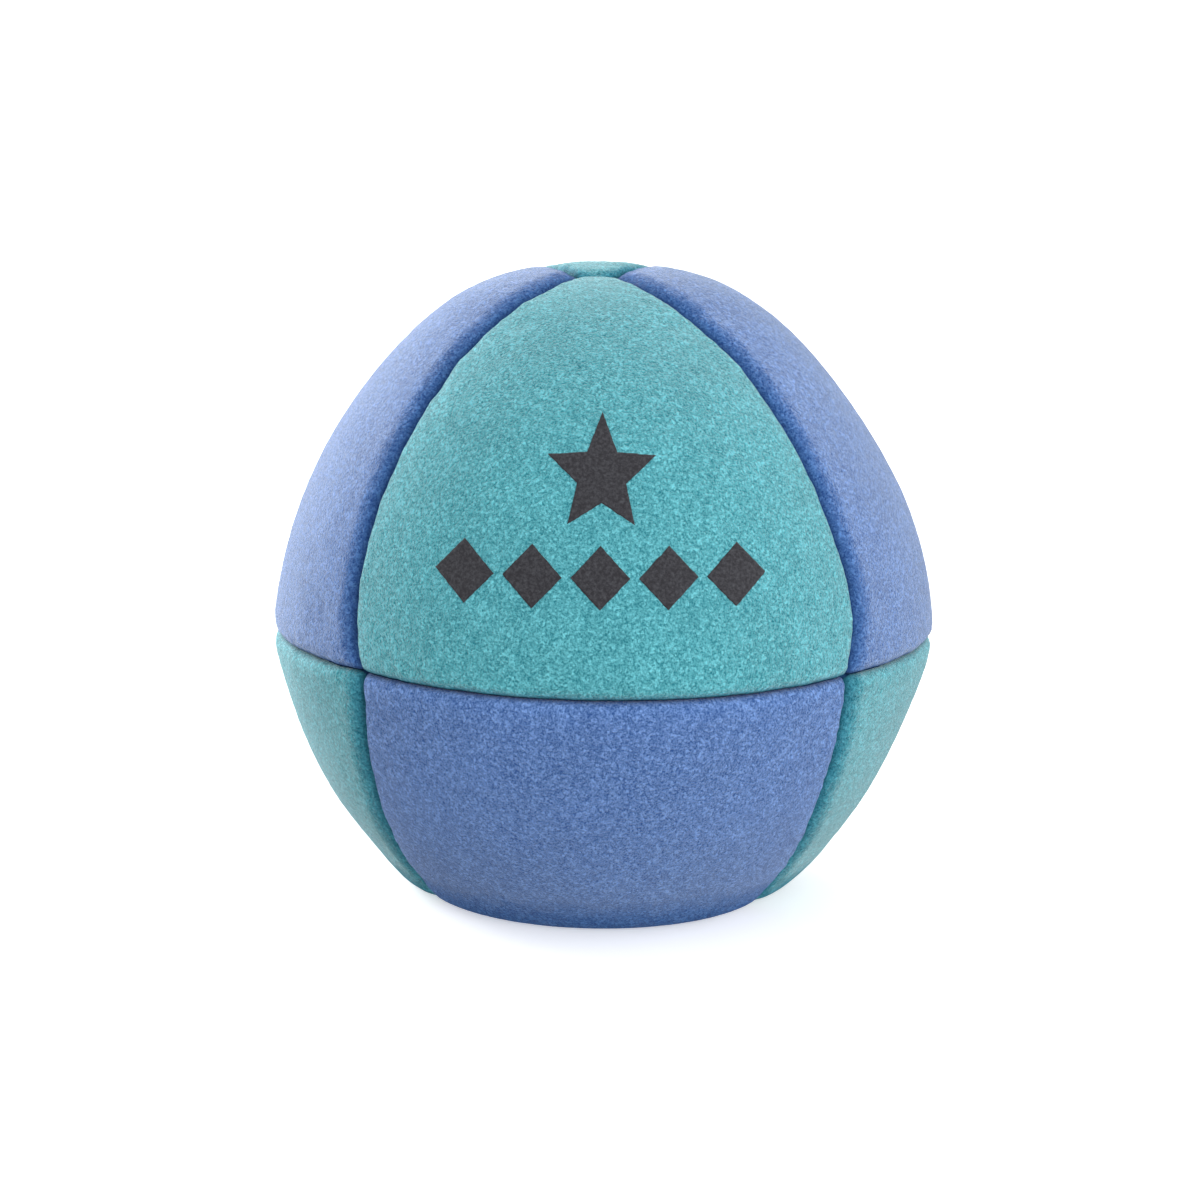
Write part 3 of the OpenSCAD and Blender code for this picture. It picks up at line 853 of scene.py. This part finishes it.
def granule_middles():
    """Close-packed places for granules, clear of the skin, the folded edges and threads."""
    reach = int(PANEL_FRONT * 1.5 / GRANULE_PITCH)
    steps = np.arange(-reach, reach + 1)
    grid = np.stack(np.meshgrid(steps, steps, steps, indexing="ij"), axis=-1).reshape(-1, 3)
    middles = grid[grid.sum(axis=1) % 2 == 0] * (GRANULE_PITCH / math.sqrt(2))
    upper = middles[:, 2] > 0
    sides = np.abs(middles)
    sides[:, 2] = middles[:, 2]
    depth = np.where(upper, depth_inside(sides, True), depth_inside(sides, False))
    to_seam = np.abs(middles).min(axis=1)
    under_skin = depth > FABRIC + GRANULE_PITCH / 2
    below_edges = depth > SEAM_ALLOWANCE + GRANULE_PITCH / 2
    between_edges = to_seam > THREAD_SIDE + THREAD_RADIUS + GRANULE_RADIUS
    return middles[under_skin & (below_edges | between_edges)]


def filling_mesh():
    """Every granule, each a little out of round."""
    ball = bmesh.new()
    bmesh.ops.create_icosphere(ball, subdivisions=3, radius=GRANULE_RADIUS)
    shape = np.array([v.co for v in ball.verts])
    faces = np.array([[v.index for v in f.verts] for f in ball.faces])
    ball.free()
    points, all_faces = [], []
    turned = math.radians(45)
    for middle in granule_middles():
        x = middle[0] * math.cos(turned) - middle[1] * math.sin(turned)
        y = middle[0] * math.sin(turned) + middle[1] * math.cos(turned)
        place = settled(np.array([[x, y, middle[2] + EQUATOR_Z]]))[0]
        waves = noise_at(shape + place * GRANULE_APART, GRANULE_RADIUS * GRANULE_WAVES)
        out_of_round = (waves - 0.5)[:, None] * GRANULE_UNEVEN / GRANULE_RADIUS
        all_faces.append(faces + len(points) * len(shape))
        points.append(place + shape * (1 + out_of_round))
    mesh = bpy.data.meshes.new("granules_settled")
    mesh.from_pydata(np.concatenate(points).tolist(), [], np.concatenate(all_faces).tolist())
    mesh.polygons.foreach_set("use_smooth", [True] * len(mesh.polygons))
    mesh.update()
    return mesh


thread_look = thread_material()
for node_name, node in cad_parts.items():
    if node_name.endswith("_thread"):
        add_piece(node_name + "_settled", settled_thread(node), [thread_look], "navy_thread",
                  node_name)
add_piece("granules_settled", filling_mesh(), [granule_material()], "granules",
          "granule_filling")

# ---- Studio ----------------------------------------------------------------------------------
CAMERA_UP = math.radians(12)
CAMERA_ROLL = math.radians(0.8)
CAMERA_DISTANCE = 325 * MM
AIM = Vector((0, 0, 29.2 * MM))
LENS = 97.5                 # millimetres, on a sensor that is 36 mm wide
WORLD_ZENITH = 0.75         # how bright the studio is overhead, level with the ball and below
WORLD_LEVEL = 1.1
WORLD_BELOW = 0.42
DIM_BELOW = -0.62           # heights of a look, from -1 to 1, where it gets as dark as below
DIM_OVERHEAD = 0.3          # and where it begins to dim overhead
# Place, size and power of each soft box
SOFTBOXES = {
    "key": ((-0.45, 0.56, 0.38), 0.45, 5.2),
    "left": ((-0.5, 0.52, 0.1), 0.4, 8.2),
    "rim": ((0.62, 0.1, 0.15), 0.45, 1.2),
    "front": ((0.45, -0.72, 0.15), 0.6, 4),
}
FLOOR_REACH = 30            # metres
FLOOR_COLOUR = (0.85, 0.85, 0.85)
FLOOR_GLOW = 0.45


def add_camera():
    """The camera in front of the ball, a little above it and a little askew, as the photo's."""
    data = bpy.data.cameras.new("camera")
    data.lens = LENS
    data.sensor_width = 36
    data.clip_start = 0.01
    camera = bpy.data.objects.new("camera", data)
    bpy.context.collection.objects.link(camera)
    away = Vector((0, -math.cos(CAMERA_UP), math.sin(CAMERA_UP)))
    camera.location = AIM + away * CAMERA_DISTANCE
    look = (-away).to_track_quat("-Z", "Y")
    roll = Quaternion(Vector((0, 0, 1)), CAMERA_ROLL)
    camera.rotation_euler = (look @ roll).to_euler()
    bpy.context.scene.camera = camera


def add_softbox(name, place, size, power):
    """A square area light that looks at the ball."""
    data = bpy.data.lights.new(name, "AREA")
    data.size = size
    data.energy = power
    light = bpy.data.objects.new(name, data)
    light.location = place
    light.rotation_euler = (AIM - Vector(place)).to_track_quat("-Z", "Y").to_euler()
    bpy.context.collection.objects.link(light)


def add_floor():
    """A white floor. The light that it would throw up at the ball is the world's from below."""
    mesh = bpy.data.meshes.new("floor")
    corners = [(x * FLOOR_REACH, y * FLOOR_REACH, 0)
               for x, y in ((-1, -1), (1, -1), (1, 1), (-1, 1))]
    mesh.from_pydata(corners, [], [(0, 1, 2, 3)])
    floor = bpy.data.objects.new("floor", mesh)
    bpy.context.collection.objects.link(floor)
    material, _, _, shader = new_material("pale_floor")
    shader.inputs["Base Color"].default_value = (*FLOOR_COLOUR, 1)
    shader.inputs["Roughness"].default_value = 0.9
    shader.inputs["Specular IOR Level"].default_value = 0
    shader.inputs["Emission Color"].default_value = (1, 1, 1, 1)
    shader.inputs["Emission Strength"].default_value = FLOOR_GLOW
    mesh.materials.append(material)
    floor.visible_diffuse = False
    floor.visible_glossy = False


def add_studio():
    """White walls, dimmer overhead and below, and the soft boxes."""
    world = bpy.data.worlds.new("studio")
    world.use_nodes = True
    nodes, links = world.node_tree.nodes, world.node_tree.links
    place = nodes.new("ShaderNodeTexCoord")
    parts = nodes.new("ShaderNodeSeparateXYZ")
    links.new(place.outputs["Generated"], parts.inputs["Vector"])
    raised = stretched(nodes, links, parts.outputs["Z"], DIM_BELOW, 0.0)
    overhead = stretched(nodes, links, parts.outputs["Z"], DIM_OVERHEAD, 1.0)
    level = mixed(nodes, links, raised, (WORLD_BELOW,) * 3, (WORLD_LEVEL,) * 3)
    colour = mixed(nodes, links, overhead, level, (WORLD_ZENITH,) * 3)
    links.new(colour, nodes["Background"].inputs["Color"])
    bpy.context.scene.world = world
    bpy.context.scene.view_settings.view_transform = "Standard"
    for name, (place, size, power) in SOFTBOXES.items():
        add_softbox(name, place, size, power)


add_camera()
add_floor()
add_studio()
